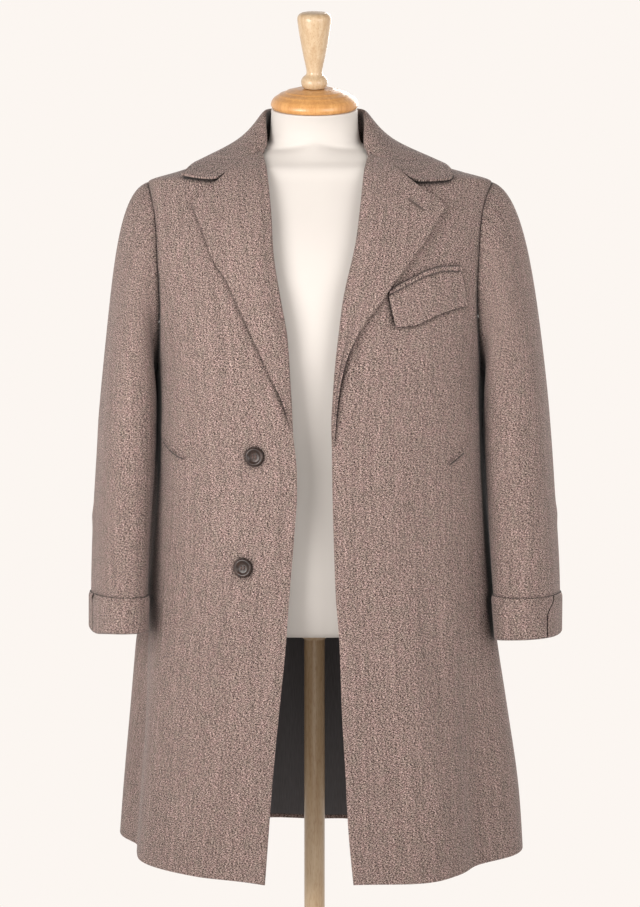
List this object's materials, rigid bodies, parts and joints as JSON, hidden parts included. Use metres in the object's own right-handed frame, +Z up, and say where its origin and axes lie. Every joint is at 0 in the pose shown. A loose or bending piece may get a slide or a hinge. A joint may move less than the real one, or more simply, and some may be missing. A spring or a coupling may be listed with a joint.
{
  "type": "wool overcoat on dress form",
  "caption": "Single-breasted wool overcoat with notched lapels, turn-back cuffs and a slanted chest pocket, worn open on a limbless dress form on a round base.",
  "frame": {"origin": "centre of the stand base's underside", "axes": "+Z up, +X towards the wearer's left, front of the coat towards -Y"},
  "size_m": [0.6872, 0.38, 1.6814],
  "materials": {
    "coating": "matt wool twill melange",
    "lining": "satin lining",
    "horn": "polished horn",
    "form_cover": "smooth ivory cover",
    "beech": "lacquered beech"
  },
  "bodies": {
    "root": {"front_right": "coating", "front_left": "coating", "back_right": "coating", "back_left": "coating", "lapel_right": "coating", "lapel_left": "coating", "collar": "coating", "sleeve_right_top": "coating", "sleeve_right_under": "coating", "sleeve_left_top": "coating", "sleeve_left_under": "coating", "cuff_right": "coating", "cuff_left": "coating", "chest_pocket_flap": "coating", "chest_pocket_jet": "coating", "side_pocket_right": "coating", "side_pocket_left": "coating", "back_lining": "lining", "button_upper": "horn", "button_lower": "horn", "form_torso": "form_cover", "form_neck_cap": "beech", "form_finial": "beech", "form_pole": "beech", "form_base": "beech"}
  },
  "joints": []
}
